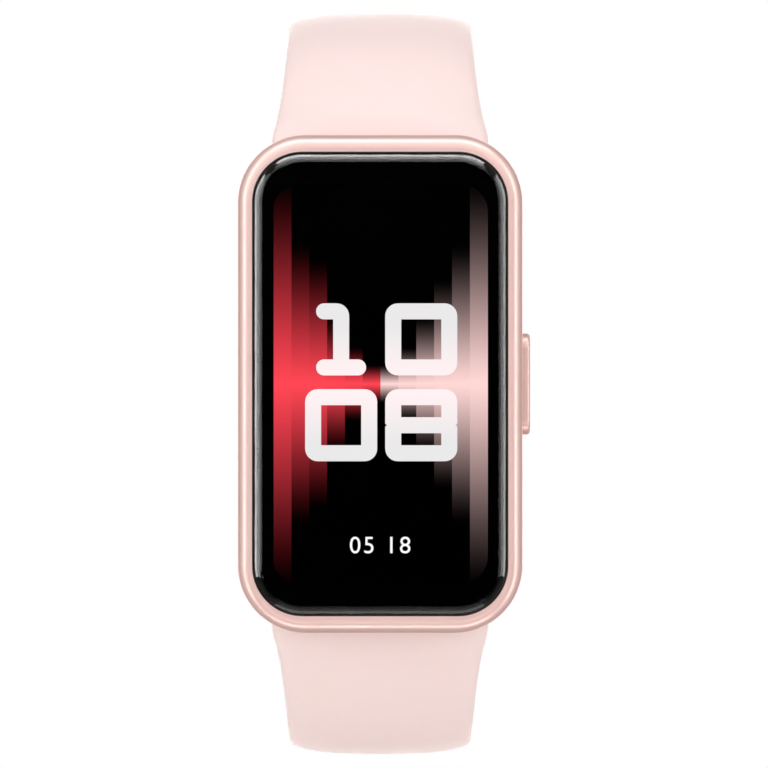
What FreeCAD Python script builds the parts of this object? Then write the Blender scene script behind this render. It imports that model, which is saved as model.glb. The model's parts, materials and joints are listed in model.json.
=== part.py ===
import FreeCAD, Part
import math
import os

# Fitness tracker band: a rectangular tracker on a two-piece silicone strap, unbuckled.
# Millimetres. The origin is the middle of the wrist, +X runs along the forearm to the wearer's
# button side, +Z to the buckle end of the strap, and the display faces -Y.

Vector = FreeCAD.Vector

# Case
CASE_WIDTH = 24.9
CASE_LENGTH = 43.5
CASE_CORNER = 5.9
RIM_Y = -28.0
CASE_BACK_Y = -20.0
RIM_ROUND = 1.1
BACK_ROUND = 2.0

# Cover glass and its seat
GLASS_WIDTH = 22.2
GLASS_LENGTH = 40.4
GLASS_CORNER = 4.3
GLASS_FRONT_Y = -28.5
GLASS_BACK_Y = -27.3
GLASS_ROUND = 0.8
GASKET_LINE = 0.1
GASKET_FLANGE_Y = -27.1
POCKET_WIDTH = 20.8
POCKET_LENGTH = 39.0
POCKET_CORNER = 3.6
POCKET_FLOOR_Y = -26.0

# Module cavity and back cover
CAVITY_WIDTH = 20.4
CAVITY_LENGTH = 29.8
CAVITY_CORNER = 3.4
NECK_WIDTH = 18.6
NECK_Y = -21.9
COVER_WIDTH = 19.6
COVER_LENGTH = 31.0
COVER_CORNER = 3.9
COVER_THICK = 0.9
COVER_GAP = 0.1
COVER_GASKET_THICK = 0.15
ISLAND_WIDTH = 13.0
ISLAND_LENGTH = 15.4
ISLAND_CORNER = 3.4
ISLAND_RISE = 0.8
ISLAND_Z = 1.5
WINDOW_WIDTH = 9.8
WINDOW_LENGTH = 12.2
WINDOW_CORNER = 2.4
WINDOW_BACK_Y = -20.6

# Display stack
DISPLAY_WIDTH = 19.6
DISPLAY_LENGTH = 36.6
DISPLAY_CORNER = 3.0
ADHESIVE_THICK = 0.15
PANEL_THICK = 0.7
BRACKET_THICK = 0.4
BRACKET_GAP = 0.1

# Main board and what sits on it
BOARD_WIDTH = 18.4
BOARD_LENGTH = 29.2
BOARD_FRONT_Y = -25.2
BOARD_THICK = 0.6
SCREW_X = 7.9
SCREW_Z = 12.8
SCREW_RADIUS = 0.4
POST_MARGIN = 1.0
BATTERY_WIDTH = 16.0
BATTERY_LENGTH = 17.0
BATTERY_THICK = 2.2
BATTERY_Z = -5.7
MOTOR_RADIUS = 4.0
MOTOR_THICK = 2.1
MOTOR_X = -4.4
MOTOR_Z = 8.2
SENSOR_BOARD_Y = -22.0
SENSOR_BOARD_THICK = 0.5
LED_SIZE = 1.3
DIODE_SIZE = 2.6
BAFFLE_LENGTH = 10.8
BAFFLE_WALL = 0.5

# Charging contacts
CONTACT_PITCH = 3.0
CONTACT_RADIUS = 0.8
CONTACT_Z = -11.6
CONTACT_SEAL = 0.25
MAGNET_X = 6.8

# Side button
BUTTON_LENGTH = 8.9
BUTTON_THICK = 2.6
BUTTON_Y = -24.2
BUTTON_PROUD = 0.67
BUTTON_GAP = 0.15
BUTTON_POCKET_DEPTH = 1.15
BUTTON_TRAVEL = 0.35
BUTTON_INNER_X = 11.75
STEM_RADIUS = 0.5
STEM_PITCH = 2.8
STEM_CLEARANCE = 0.07
STEM_END_X = 9.7

# Strap hinge at each end of the case
HINGE_Y = -23.6
HINGE_Z = 18.6
BARREL_RADIUS = 1.6
RECESS_HALF_WIDTH = 9.55
RECESS_WALL_Z = 16.7
RECESS_ROOF_Y = -25.5
TONGUE_HALF_WIDTH = 9.25
SLEEVE_RADIUS = 1.1
SLEEVE_BORE = 0.8
BAR_RADIUS = 0.75
BAR_BORE = 0.5
BAR_HALF_LENGTH = 8.3
PIN_RADIUS = 0.43
PIN_REACH = 10.65
SOCKET_RADIUS = 0.5
SOCKET_END = 10.85
RELEASE_TRAVEL = 1.2
KNOB_X = 5.2
KNOB_RADIUS = 0.45
KNOB_HEIGHT = 2.3
KNOB_SLOT_GAP = 0.15
SPRING_COIL_RADIUS = 0.32
SPRING_WIRE_RADIUS = 0.09
SPRING_TURNS = 9

# Strap halves
STRAP_THICK = 2.4
STRAP_HALF_WIDTH = 8.0
STRAP_START_ANGLE = 20.0
LOOP_HALF_HEIGHT = 32.7
UPPER_RADIUS = 38.0
UPPER_TURN = 32.0
UPPER_STRAIGHT = 33.0
TAIL_RADIUS = 200.0
TAIL_TURN = 25.2
TAIL_TIP_ROUND = 6.0
HOLE_COUNT = 11
HOLE_PITCH = 6.5
HOLE_LENGTH = 3.4
HOLE_HEIGHT = 2.0
FIRST_HOLE_TO_TIP = 11.0
OUTER_EDGE_ROUND = 0.9
INNER_EDGE_ROUND = 0.5

# Buckle, tang and keeper, in the frame of the buckle bar
BUCKLE_HALF_WIDTH = 10.4
BUCKLE_ARM = 1.9
BUCKLE_THICK = 2.0
BUCKLE_EYE_RADIUS = 1.45
BUCKLE_ROUND = 0.45
BUCKLE_WINDOW_END = 9.2
BUCKLE_END = 11.4
BUCKLE_CORNER = 3.0
BUCKLE_BAR_RADIUS = 0.75
BUCKLE_BORE = 0.82
STRAP_EYE_RADIUS = 1.9
TANG_HALF_WIDTH = 1.1
TANG_SLOT_HALF_WIDTH = 1.4
TANG_SLOT_BACK = 4.0
TANG_COLLAR = 1.5
KEEPER_PLACE = 12.0
KEEPER_LENGTH = 6.0
KEEPER_WALL = 1.2
KEEPER_ROOM = 2.7
KEEPER_GAP = 0.3

half_case = CASE_WIDTH / 2
cell_step = (BAFFLE_LENGTH - BAFFLE_WALL) / 3
loop_radius_z = LOOP_HALF_HEIGHT - STRAP_THICK / 2
first_radius = (loop_radius_z - HINGE_Z) / (1 - math.sin(math.radians(STRAP_START_ANGLE)))
first_center_z = loop_radius_z - first_radius
first_center_y = HINGE_Y + first_radius * math.cos(math.radians(STRAP_START_ANGLE))


# ---- small helpers ----

def edges_where(shape, test):
    return [edge for edge in shape.Edges if test(edge.BoundBox)]


def runs_along_y(box):
    return box.YLength > 1e-4 and box.XLength < 1e-4 and box.ZLength < 1e-4


def rounded_block(width, length, corner, y_front, y_back, x=0.0, z=0.0):
    """A block in the plane of the display, with its four corners rounded."""
    place = Vector(x - width / 2, y_front, z - length / 2)
    block = Part.makeBox(width, y_back - y_front, length, place)
    if corner:
        block = block.makeFillet(corner, edges_where(block, runs_along_y))
    return block


def round_rim(shape, y, radius):
    """Round every edge that lies in the plane at y."""
    in_plane = edges_where(shape, lambda b: abs(b.YMin - y) < 1e-4 and abs(b.YMax - y) < 1e-4)
    return shape.makeFillet(radius, in_plane)


def rod_x(radius, x_start, x_end, y=0.0, z=0.0):
    return Part.makeCylinder(radius, x_end - x_start, Vector(x_start, y, z), Vector(1, 0, 0))


def rod_y(radius, y_start, y_end, x=0.0, z=0.0):
    return Part.makeCylinder(radius, y_end - y_start, Vector(x, y_start, z), Vector(0, 1, 0))


def tube_x(outer, inner, x_start, x_end, y=0.0, z=0.0):
    return rod_x(outer, x_start, x_end, y, z).cut(rod_x(inner, x_start, x_end, y, z))


def tube_y(outer, inner, y_start, y_end, x=0.0, z=0.0):
    return rod_y(outer, y_start, y_end, x, z).cut(rod_y(inner, y_start, y_end, x, z))


def box_between(low, high):
    size = [b - a for a, b in zip(low, high)]
    return Part.makeBox(size[0], size[1], size[2], Vector(*low))


def prism_x(edges, half_width):
    """A closed outline in the plane x = 0, drawn out to both sides."""
    face = Part.Face(Part.Wire(Part.__sortEdges__(edges)))
    face.translate(Vector(-half_width, 0, 0))
    return face.extrude(Vector(2 * half_width, 0, 0))


def outline_x(points):
    """Straight edges through (y, z) points, closed."""
    corners = [Vector(0, y, z) for y, z in points]
    return [Part.makeLine(a, b) for a, b in zip(corners, corners[1:] + corners[:1])]


def join(*shapes):
    return shapes[0].multiFuse(list(shapes[1:])).removeSplitter()


def mirror_z(shape):
    return shape.mirror(Vector(0, 0, 0), Vector(0, 0, 1))


# ---- case ----

def lug_recess():
    """Room behind one end of the case for the strap's barrel, open to the back and the end."""
    room = box_between((-RECESS_HALF_WIDTH, RECESS_ROOF_Y, RECESS_WALL_Z),
                       (RECESS_HALF_WIDTH, CASE_BACK_Y + 1, CASE_LENGTH))
    socket = rod_x(SOCKET_RADIUS, -SOCKET_END, SOCKET_END, HINGE_Y, HINGE_Z)
    return room.fuse(socket)


def button_stems(radius, x_start, x_end):
    return [rod_x(radius, x_start, x_end, BUTTON_Y, k * STEM_PITCH) for k in (-1, 0, 1)]


def button_bar(length, thick, x_start, x_end):
    """A bar with full round ends that lies on the case's flank."""
    bar = box_between((x_start, BUTTON_Y - thick / 2, -length / 2),
                      (x_end, BUTTON_Y + thick / 2, length / 2))
    along_x = edges_where(bar, lambda b: b.YLength < 1e-4 and b.ZLength < 1e-4)
    return bar.makeFillet(thick / 2 - 0.01, along_x)


def board_post(side):
    """A square post in an upper corner of the cavity that takes a board screw."""
    near_x = side * (SCREW_X - POST_MARGIN)
    wall_x = side * CAVITY_WIDTH / 2
    post = box_between((min(near_x, wall_x), BOARD_FRONT_Y + BOARD_THICK, SCREW_Z - POST_MARGIN),
                       (max(near_x, wall_x), NECK_Y, CAVITY_LENGTH / 2))
    return post.cut(rod_y(SCREW_RADIUS, BOARD_FRONT_Y, NECK_Y, side * SCREW_X, SCREW_Z))


def case_frame():
    body = rounded_block(CASE_WIDTH, CASE_LENGTH, CASE_CORNER, RIM_Y, CASE_BACK_Y)
    body = round_rim(body, RIM_Y, RIM_ROUND)
    body = round_rim(body, CASE_BACK_Y, BACK_ROUND)
    seat_margin = 2 * GASKET_LINE
    seat = rounded_block(GLASS_WIDTH + seat_margin, GLASS_LENGTH + seat_margin,
                         GLASS_CORNER + GASKET_LINE, RIM_Y - 1, GASKET_FLANGE_Y)
    pocket = rounded_block(POCKET_WIDTH, POCKET_LENGTH, POCKET_CORNER, RIM_Y, POCKET_FLOOR_Y)
    cavity = rounded_block(CAVITY_WIDTH, CAVITY_LENGTH, CAVITY_CORNER, RIM_Y, NECK_Y)
    neck = rounded_block(NECK_WIDTH, CAVITY_LENGTH, CAVITY_CORNER, RIM_Y, CASE_BACK_Y + 1)
    cover_seat = rounded_block(COVER_WIDTH + 2 * COVER_GAP, COVER_LENGTH + 2 * COVER_GAP,
                               COVER_CORNER + COVER_GAP,
                               CASE_BACK_Y - COVER_THICK - COVER_GASKET_THICK, CASE_BACK_Y + 1)
    upper_recess = lug_recess()
    pocket_floor_x = half_case - BUTTON_POCKET_DEPTH
    button_pocket = button_bar(BUTTON_LENGTH + 2 * BUTTON_GAP, BUTTON_THICK + 2 * BUTTON_GAP,
                               pocket_floor_x, half_case + 1)
    stem_holes = button_stems(STEM_RADIUS + STEM_CLEARANCE, CAVITY_WIDTH / 2 - 1, half_case)
    seal_rooms = button_stems(0.95, pocket_floor_x - 0.5, half_case)
    hollows = [seat, pocket, cavity, neck, cover_seat, upper_recess, mirror_z(upper_recess)]
    frame = body.cut(hollows + [button_pocket] + stem_holes + seal_rooms)
    return join(frame, board_post(1), board_post(-1))


def back_cover():
    front_y = CASE_BACK_Y - COVER_THICK
    plate = rounded_block(COVER_WIDTH, COVER_LENGTH, COVER_CORNER, front_y, CASE_BACK_Y)
    island = rounded_block(ISLAND_WIDTH, ISLAND_LENGTH, ISLAND_CORNER, CASE_BACK_Y - 0.5,
                           CASE_BACK_Y + ISLAND_RISE, z=ISLAND_Z)
    island = round_rim(island, CASE_BACK_Y + ISLAND_RISE, 0.6)
    window = rounded_block(WINDOW_WIDTH + 0.1, WINDOW_LENGTH + 0.1, WINDOW_CORNER,
                           WINDOW_BACK_Y, CASE_BACK_Y + 2, z=ISLAND_Z)
    light_way = rounded_block(WINDOW_WIDTH - 1.2, WINDOW_LENGTH - 1.2, WINDOW_CORNER - 0.6,
                              front_y - 1, CASE_BACK_Y, z=ISLAND_Z)
    holes = [rod_y(CONTACT_RADIUS + CONTACT_SEAL, front_y - 1, CASE_BACK_Y + 1, x, CONTACT_Z)
             for x in contact_places()]
    return join(plate, island).cut([window, light_way] + holes)


def back_cover_gasket():
    low_y = CASE_BACK_Y - COVER_THICK - COVER_GASKET_THICK
    high_y = CASE_BACK_Y - COVER_THICK
    ring = rounded_block(COVER_WIDTH - 0.1, COVER_LENGTH - 0.1, COVER_CORNER, low_y, high_y)
    return ring.cut(rounded_block(NECK_WIDTH, CAVITY_LENGTH, CAVITY_CORNER, low_y, high_y))


def sensor_window():
    window = rounded_block(WINDOW_WIDTH, WINDOW_LENGTH, WINDOW_CORNER - 0.05, WINDOW_BACK_Y,
                           CASE_BACK_Y + ISLAND_RISE, z=ISLAND_Z)
    return round_rim(window, CASE_BACK_Y + ISLAND_RISE, 0.15)


def contact_places():
    return [-CONTACT_PITCH, 0.0, CONTACT_PITCH]


def charging_pins():
    pins = []
    for x in contact_places():
        shaft = rod_y(CONTACT_RADIUS * 0.6, CASE_BACK_Y - 1.7, CASE_BACK_Y - 0.6, x, CONTACT_Z)
        head = rod_y(CONTACT_RADIUS, CASE_BACK_Y - 0.6, CASE_BACK_Y, x, CONTACT_Z)
        pins.append(head.fuse(shaft))
    return Part.makeCompound(pins)


def charging_pin_seals():
    rings = []
    for x in contact_places():
        collar = tube_y(CONTACT_RADIUS + CONTACT_SEAL, CONTACT_RADIUS, CASE_BACK_Y - 0.6,
                        CASE_BACK_Y, x, CONTACT_Z)
        washer = tube_y(CONTACT_RADIUS + CONTACT_SEAL, CONTACT_RADIUS * 0.6,
                        CASE_BACK_Y - COVER_THICK, CASE_BACK_Y - 0.6, x, CONTACT_Z)
        rings.append(join(collar, washer))
    return Part.makeCompound(rings)


def charging_magnets():
    low_y = CASE_BACK_Y - COVER_THICK - 1.1
    return Part.makeCompound([
        rounded_block(2.2, 5.0, 0.5, low_y, CASE_BACK_Y - COVER_THICK, side * MAGNET_X, CONTACT_Z)
        for side in (-1, 1)])


# ---- glass and display ----

def cover_glass():
    pane = rounded_block(GLASS_WIDTH, GLASS_LENGTH, GLASS_CORNER, GLASS_FRONT_Y, GLASS_BACK_Y)
    return round_rim(pane, GLASS_FRONT_Y, GLASS_ROUND)


def glass_gasket():
    """An L-shaped ring: a thin line round the glass and a flange behind its edge."""
    line_top_y = RIM_Y + 0.15
    outer = rounded_block(GLASS_WIDTH + 2 * GASKET_LINE, GLASS_LENGTH + 2 * GASKET_LINE,
                          GLASS_CORNER + GASKET_LINE, line_top_y, GASKET_FLANGE_Y)
    pane = rounded_block(GLASS_WIDTH, GLASS_LENGTH, GLASS_CORNER, line_top_y, GLASS_BACK_Y)
    middle = rounded_block(POCKET_WIDTH, POCKET_LENGTH, POCKET_CORNER, line_top_y,
                           GASKET_FLANGE_Y)
    return outer.cut([pane, middle])


def display_layer(y_front, thick, inset=0.0):
    return rounded_block(DISPLAY_WIDTH - 2 * inset, DISPLAY_LENGTH - 2 * inset,
                         DISPLAY_CORNER - inset, y_front, y_front + thick)


def inner_bracket():
    plate = rounded_block(CAVITY_WIDTH - 2 * BRACKET_GAP, CAVITY_LENGTH - 2 * BRACKET_GAP,
                          CAVITY_CORNER - BRACKET_GAP, POCKET_FLOOR_Y,
                          POCKET_FLOOR_Y + BRACKET_THICK)
    window = rounded_block(11.0, 12.0, 1.5, POCKET_FLOOR_Y, POCKET_FLOOR_Y + BRACKET_THICK, z=-3)
    flex_slot = rounded_block(9.0, 1.6, 0.0, POCKET_FLOOR_Y, POCKET_FLOOR_Y + BRACKET_THICK,
                              z=12.6)
    return plate.cut([window, flex_slot])


def display_flex():
    """A ribbon from the back of the display panel through the bracket to the board."""
    panel_back_y = GLASS_BACK_Y + ADHESIVE_THICK + PANEL_THICK
    return box_between((-4, panel_back_y, 12.5), (4, BOARD_FRONT_Y, 12.7))


# ---- electronics ----

def main_board():
    board = rounded_block(BOARD_WIDTH, BOARD_LENGTH, 3.0, BOARD_FRONT_Y,
                          BOARD_FRONT_Y + BOARD_THICK)
    holes = [rod_y(SCREW_RADIUS + 0.1, BOARD_FRONT_Y, BOARD_FRONT_Y + BOARD_THICK,
                   side * SCREW_X, SCREW_Z) for side in (-1, 1)]
    return board.cut(holes)


def board_screws():
    screws = []
    for side in (-1, 1):
        thread = rod_y(SCREW_RADIUS, BOARD_FRONT_Y, BOARD_FRONT_Y + 2.4, side * SCREW_X,
                       SCREW_Z)
        head = rod_y(0.75, BOARD_FRONT_Y - 0.3, BOARD_FRONT_Y, side * SCREW_X, SCREW_Z)
        screws.append(head.fuse(thread))
    return Part.makeCompound(screws)


def board_chips():
    back_y = BOARD_FRONT_Y + BOARD_THICK
    return Part.makeCompound([
        box_between((1.2, back_y, 5.6), (6.2, back_y + 0.8, 10.6)),
        box_between((6.9, back_y, 5.6), (8.9, back_y + 0.7, 8.0)),
        box_between((6.9, back_y, 8.6), (8.4, back_y + 0.7, 10.4)),
        box_between((1.2, BOARD_FRONT_Y - 0.35, -9.0), (4.6, BOARD_FRONT_Y, -5.6)),
        box_between((-4.8, BOARD_FRONT_Y - 0.35, -9.0), (-1.6, BOARD_FRONT_Y, -5.6))])


def shield_can():
    back_y = BOARD_FRONT_Y + BOARD_THICK
    shell = rounded_block(8.8, 6.0, 0.5, back_y, back_y + 1.3, x=5.2, z=8.1)
    room = rounded_block(8.4, 5.6, 0.3, back_y, back_y + 1.1, x=5.2, z=8.1)
    return shell.cut(room)


def battery():
    front_y = BOARD_FRONT_Y + BOARD_THICK + 0.15
    return rounded_block(BATTERY_WIDTH, BATTERY_LENGTH, 1.2, front_y, front_y + BATTERY_THICK,
                         z=BATTERY_Z)


def battery_adhesive():
    front_y = BOARD_FRONT_Y + BOARD_THICK
    return rounded_block(13.0, 13.0, 0.0, front_y, front_y + 0.15, z=BATTERY_Z)


def vibration_motor():
    front_y = BOARD_FRONT_Y + BOARD_THICK
    return rod_y(MOTOR_RADIUS, front_y, front_y + MOTOR_THICK, MOTOR_X, MOTOR_Z)


def sensor_board():
    return rounded_block(ISLAND_WIDTH - 1, ISLAND_LENGTH - 1.4, 1.0, SENSOR_BOARD_Y,
                         SENSOR_BOARD_Y + SENSOR_BOARD_THICK, z=ISLAND_Z)


def sensor_chips(size, x_places, z_places):
    face_y = SENSOR_BOARD_Y + SENSOR_BOARD_THICK
    return Part.makeCompound([
        rounded_block(size, size, 0.0, face_y, face_y + 0.4, x, ISLAND_Z + z)
        for x in x_places for z in z_places])


def light_baffle():
    """A black frame that keeps the light of the LEDs apart from the photodiodes."""
    face_y = SENSOR_BOARD_Y + SENSOR_BOARD_THICK
    width = WINDOW_WIDTH - 1.4
    frame = rounded_block(width, BAFFLE_LENGTH, 1.5, face_y, WINDOW_BACK_Y, z=ISLAND_Z)
    cells = [rounded_block(width - 2 * BAFFLE_WALL, cell_step - BAFFLE_WALL, 0.4, face_y,
                           WINDOW_BACK_Y, z=ISLAND_Z + k * cell_step) for k in (-1, 0, 1)]
    return frame.cut(cells)


# ---- side button ----

def side_button():
    head = button_bar(BUTTON_LENGTH, BUTTON_THICK, BUTTON_INNER_X, half_case + BUTTON_PROUD)
    outer_x = half_case + BUTTON_PROUD
    rim = edges_where(head, lambda b: abs(b.XMin - outer_x) < 1e-4 and abs(b.XMax - outer_x) < 1e-4)
    head = head.makeFillet(0.3, rim)
    return join(head, *button_stems(STEM_RADIUS, STEM_END_X, BUTTON_INNER_X))


def button_seals():
    start_x = half_case - BUTTON_POCKET_DEPTH
    return Part.makeCompound([
        tube_x(0.87, STEM_RADIUS, start_x - 0.1, start_x + 0.3, BUTTON_Y, k * STEM_PITCH)
        for k in (-1, 0, 1)])


def button_clips():
    return Part.makeCompound([
        tube_x(0.9, STEM_RADIUS, STEM_END_X + 0.1, STEM_END_X + 0.3, BUTTON_Y, k * STEM_PITCH)
        for k in (-1, 1)])


def button_switch():
    body = box_between((8.3, BUTTON_Y - 0.3, -1.6), (STEM_END_X - BUTTON_TRAVEL - 0.45,
                       BUTTON_Y + 1.5, 1.6))
    plunger = rod_x(0.25, 8.5, STEM_END_X - BUTTON_TRAVEL - 0.05, BUTTON_Y + 0.1, 0)
    return join(body, plunger)


# ---- strap halves ----

def arc_point(center_y, center_z, radius, angle):
    """A point on a strap arc: 0 degrees is furthest from the case, positive towards the case."""
    turn = math.radians(angle)
    return Vector(0, center_y - radius * math.sin(turn), center_z + radius * math.cos(turn))


def arc_edge(center_y, center_z, radius, start, end):
    middle = (start + end) / 2
    points = [arc_point(center_y, center_z, radius, angle) for angle in (start, middle, end)]
    return Part.Arc(*points).toShape()


def arc_band(center_y, center_z, radius, start, end, half_width):
    outer = arc_edge(center_y, center_z, radius + STRAP_THICK / 2, start, end)
    inner = arc_edge(center_y, center_z, radius - STRAP_THICK / 2, start, end)
    first = Part.makeLine(outer.Vertexes[0].Point, inner.Vertexes[0].Point)
    last = Part.makeLine(outer.Vertexes[1].Point, inner.Vertexes[1].Point)
    return prism_x([outer, last, inner, first], half_width)


def shoulder(half_width):
    """The thicker root of the strap, which fills the space behind the end of the case."""
    outer_radius = first_radius + STRAP_THICK / 2
    foot = arc_point(first_center_y, first_center_z, outer_radius, 44.0)
    top = Vector(0, HINGE_Y - BARREL_RADIUS, HINGE_Z)
    bulge = Vector(0, HINGE_Y + 0.25, HINGE_Z + 4.3)
    back = Vector(0, HINGE_Y, HINGE_Z)
    inner_foot = arc_point(first_center_y, first_center_z, first_radius, 44.0)
    edges = [Part.Arc(top, bulge, foot).toShape(), Part.makeLine(foot, inner_foot),
             Part.makeLine(inner_foot, back), Part.makeLine(back, top)]
    return prism_x(edges, half_width)


def flare_cutter():
    """The strap's outline seen on the display side: it widens from its own width to the case."""
    points = [Vector(TONGUE_HALF_WIDTH, 0, HINGE_Z + 2.6), Vector(8.52, 0, 25.8),
              Vector(STRAP_HALF_WIDTH, 0, loop_radius_z)]
    right = Part.Arc(*points).toShape()
    left = right.mirror(Vector(0, 0, 0), Vector(1, 0, 0))
    low_z = HINGE_Z - 2 * BARREL_RADIUS
    high_z = LOOP_HALF_HEIGHT + 1
    width = TONGUE_HALF_WIDTH
    low = [Vector(width, 0, HINGE_Z + 2.6), Vector(width, 0, low_z), Vector(-width, 0, low_z),
           Vector(-width, 0, HINGE_Z + 2.6)]
    slim = STRAP_HALF_WIDTH
    high = [Vector(-slim, 0, loop_radius_z), Vector(-slim, 0, high_z), Vector(slim, 0, high_z),
            Vector(slim, 0, loop_radius_z)]
    edges = [Part.makeLine(a, b) for a, b in zip(low, low[1:])]
    edges += [Part.makeLine(a, b) for a, b in zip(high, high[1:])]
    face = Part.Face(Part.Wire(Part.__sortEdges__(edges + [right, left])))
    face.translate(Vector(0, RIM_Y, 0))
    return face.extrude(Vector(0, 40, 0))


def strap_root():
    """The first bend of a strap half, from the barrel at the case to the end of the loop."""
    wide = CASE_WIDTH / 2
    start = 90 - STRAP_START_ANGLE
    band = arc_band(first_center_y, first_center_z, first_radius, start, 0, wide)
    barrel = rod_x(BARREL_RADIUS, -wide, wide, HINGE_Y, HINGE_Z)
    blank = join(band, barrel, shoulder(wide))
    return blank.common(flare_cutter())


def at_path_end(shape, radius, turn, along=0.0):
    """Move a shape from a strap frame (+Y along the strap, +Z outwards) to the path's end."""
    angle = math.radians(turn)
    end_y = first_center_y + radius * math.sin(angle) + along * math.cos(angle)
    end_z = loop_radius_z - radius * (1 - math.cos(angle)) - along * math.sin(angle)
    moved = shape.copy()
    moved.rotate(Vector(0, 0, 0), Vector(1, 0, 0), -turn)
    moved.translate(Vector(0, end_y, end_z))
    return moved


def at_buckle(shape):
    return at_path_end(shape, UPPER_RADIUS, UPPER_TURN, UPPER_STRAIGHT)


def knob_slot(direction):
    """The slot on the wrist side of the barrel that the release knob slides in."""
    reach = KNOB_RADIUS + KNOB_SLOT_GAP
    slot = box_between((KNOB_X - RELEASE_TRAVEL - reach, 0, -reach),
                       (KNOB_X + reach, 2 * BARREL_RADIUS, reach))
    slot.rotate(Vector(0, 0, 0), Vector(1, 0, 0), direction)
    slot.translate(Vector(0, HINGE_Y, HINGE_Z))
    return slot


def drill_strap_root(strap):
    bore = rod_x(SLEEVE_RADIUS, -CASE_WIDTH, CASE_WIDTH, HINGE_Y, HINGE_Z)
    return strap.cut([bore, knob_slot(STRAP_START_ANGLE)])


def upper_strap():
    slim = STRAP_HALF_WIDTH
    band = arc_band(first_center_y, loop_radius_z - UPPER_RADIUS, UPPER_RADIUS, 0, -UPPER_TURN,
                    slim)
    half = STRAP_THICK / 2
    straight = box_between((-slim, -UPPER_STRAIGHT, -half), (slim, 0, half))
    eye = rod_x(STRAP_EYE_RADIUS, -slim, slim)
    strap = join(strap_root(), band, at_buckle(straight), at_buckle(eye))
    slot = box_between((-TANG_SLOT_HALF_WIDTH, -TANG_SLOT_BACK, -5),
                       (TANG_SLOT_HALF_WIDTH, 5, 5))
    bore = rod_x(BUCKLE_BORE, -CASE_WIDTH, CASE_WIDTH)
    return drill_strap_root(strap).cut([at_buckle(slot), at_buckle(bore)])


def tail_hole():
    half = HOLE_LENGTH / 2
    side = HOLE_HEIGHT / 2
    hole = box_between((-half, -side, -5), (half, side, 5))
    corners = edges_where(hole, lambda b: b.XLength < 1e-4 and b.YLength < 1e-4)
    return hole.makeFillet(side - 0.01, corners)


def tail_strap():
    """Built like the upper half, with holes and a round tip, then turned over to the other end."""
    slim = STRAP_HALF_WIDTH
    band = arc_band(first_center_y, loop_radius_z - TAIL_RADIUS, TAIL_RADIUS, 0, -TAIL_TURN, slim)
    strap = join(strap_root(), band)
    degrees_per_mm = math.degrees(1 / TAIL_RADIUS)
    holes = []
    for k in range(HOLE_COUNT):
        from_tip = FIRST_HOLE_TO_TIP + k * HOLE_PITCH
        holes.append(at_path_end(tail_hole(), TAIL_RADIUS, TAIL_TURN - from_tip * degrees_per_mm))
    tip = box_between((-20, -TAIL_TIP_ROUND, -10), (20, 10, 10))
    keep = box_between((-slim, -3 * TAIL_TIP_ROUND, -10), (slim, 0, 10))
    corners = edges_where(keep, lambda b: b.XLength < 1e-4 and b.YLength < 1e-4 and b.YMax > -1)
    keep = keep.makeFillet(TAIL_TIP_ROUND - 0.01, corners)
    corner_waste = at_path_end(tip.cut(keep), TAIL_RADIUS, TAIL_TURN)
    return mirror_z(drill_strap_root(strap).cut(holes + [corner_waste]))


# ---- quick-release bars ----

def end_sleeve():
    sleeve = tube_x(SLEEVE_RADIUS, SLEEVE_BORE, -TONGUE_HALF_WIDTH, TONGUE_HALF_WIDTH,
                    HINGE_Y, HINGE_Z)
    return sleeve.cut(knob_slot(STRAP_START_ANGLE))


def bar_tube():
    """The bar's tube, with a fixed pin at one end and a slot for the knob near the other."""
    tube = rod_x(BAR_RADIUS, -BAR_HALF_LENGTH, BAR_HALF_LENGTH, HINGE_Y, HINGE_Z)
    bore = rod_x(BAR_BORE, 0.5 - BAR_HALF_LENGTH, BAR_HALF_LENGTH, HINGE_Y, HINGE_Z)
    pin = rod_x(PIN_RADIUS, -PIN_REACH, -BAR_HALF_LENGTH, HINGE_Y, HINGE_Z)
    return join(tube.cut([bore, knob_slot(STRAP_START_ANGLE)]), pin)


def release_pin():
    shaft = rod_x(PIN_RADIUS, 2.0, PIN_REACH, HINGE_Y, HINGE_Z)
    knob = Part.makeCylinder(KNOB_RADIUS, KNOB_HEIGHT, Vector(KNOB_X, 0, 0), Vector(0, 1, 0))
    cap_start = Vector(KNOB_X, KNOB_HEIGHT - 0.45, 0)
    cap = Part.makeCylinder(KNOB_RADIUS + 0.1, 0.45, cap_start, Vector(0, 1, 0))
    knob = knob.fuse(cap)
    knob.rotate(Vector(0, 0, 0), Vector(1, 0, 0), STRAP_START_ANGLE)
    knob.translate(Vector(0, HINGE_Y, HINGE_Z))
    return join(shaft, knob)


def bar_spring():
    """Coil between the closed end of the tube and the pin, at its length when squeezed."""
    start_x = 0.6 - BAR_HALF_LENGTH
    length = 2.0 - RELEASE_TRAVEL - 0.15 - start_x
    pitch = length / SPRING_TURNS
    path = Part.makeHelix(pitch, length - 2 * SPRING_WIRE_RADIUS, SPRING_COIL_RADIUS)
    section = Part.makeCircle(SPRING_WIRE_RADIUS, Vector(SPRING_COIL_RADIUS, 0, 0),
                              Vector(0, 1, 0))
    coil = Part.Wire(path).makePipeShell([Part.Wire(section)], True, True)
    coil.rotate(Vector(0, 0, 0), Vector(0, 1, 0), 90)
    coil.translate(Vector(start_x + SPRING_WIRE_RADIUS, HINGE_Y, HINGE_Z))
    return coil


# ---- buckle ----

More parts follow.
